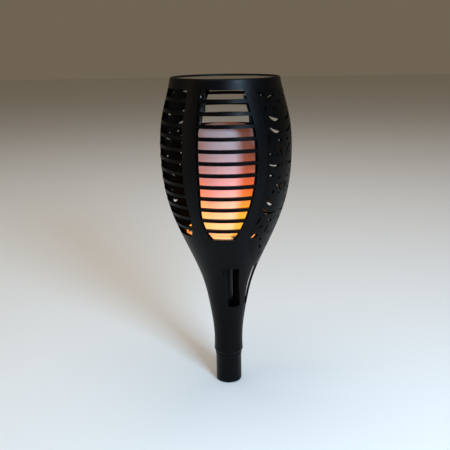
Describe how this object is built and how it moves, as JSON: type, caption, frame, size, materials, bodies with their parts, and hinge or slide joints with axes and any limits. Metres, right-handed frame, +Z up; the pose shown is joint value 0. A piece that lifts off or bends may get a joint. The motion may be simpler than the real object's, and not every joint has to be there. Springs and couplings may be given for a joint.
{
  "type": "solar torch head",
  "caption": "Urn-shaped lantern head of a solar flame torch: slatted and scroll-pierced windows, lit diffuser, lift-out solar cap and a plug for a pole.",
  "frame": {"origin": "centre of the spigot's lower end", "axes": "+Z up along the head's axis, the front window faces -Y"},
  "size_m": [0.1204, 0.1204, 0.296],
  "materials": {
    "black_abs": "satin black, fine moulded texture",
    "frosted": "frosted translucent white",
    "white_abs": "plain white",
    "flex_white": "white solder mask",
    "led_yellow": "phosphor yellow",
    "board_green": "green solder mask",
    "component_black": "moulded packages",
    "steel": "zinc plated",
    "cell_wrap": "heat-shrink sleeve",
    "nickel": "nickel plated spring steel",
    "solar_board": "dark laminate",
    "solar_cell": "dark blue silicon",
    "cover": "clear resin",
    "rubber": "soft seal",
    "lead_red": "PVC insulation",
    "lead_black": "PVC insulation"
  },
  "bodies": {
    "lantern": {"shell_right": "black_abs", "shell_left": "black_abs", "grille_front": "black_abs", "grille_left": "black_abs", "grille_rear_right": "black_abs", "grille_rear_left": "black_abs", "scroll_panel_right": "black_abs", "scroll_panel_left": "black_abs", "case_screws": "steel", "pole_spigot": "black_abs", "spigot_screws": "steel", "light_deck": "white_abs", "clamp_ring": "frosted", "deck_screws": "steel", "diffuser": "frosted", "led_core": "white_abs", "led_board": "flex_white", "led_chips": "led_yellow", "battery_tube": "black_abs", "tube_screws": "steel", "battery": "cell_wrap", "battery_spring": "nickel", "positive_contact": "nickel", "terminal_plug": "white_abs", "driver_board": "board_green", "board_parts": "component_black", "board_screws": "steel", "power_switch": "component_black", "lead_plug": "component_black", "panel_lead": "lead_black", "led_leads": "lead_red"},
    "cap": {"cap_tray": "black_abs", "solar_board": "solar_board", "solar_cells": "solar_cell", "panel_cover": "cover", "cap_seal": "rubber", "cap_socket": "component_black"},
    "button": {"switch_button": "rubber"},
    "plunger": {"switch_plunger": "white_abs"}
  },
  "joints": [
    {"name": "cap_lift", "type": "slide", "parent": "lantern", "child": "cap", "axis": [0, 0, 1], "range_m": [0, 0.03]},
    {"name": "button_press", "type": "slide", "parent": "lantern", "child": "button", "axis": [0, -1, 0], "range_m": [0, 0.0012], "stiffness_N_per_m": 600},
    {"name": "plunger_press", "type": "slide", "parent": "lantern", "child": "plunger", "axis": [0, -1, 0], "range_m": [0, 0.0012], "stiffness_N_per_m": 100}
  ],
  "couplings": [
    {"joint": "plunger_press", "follows": "button_press", "ratio": 1}
  ]
}
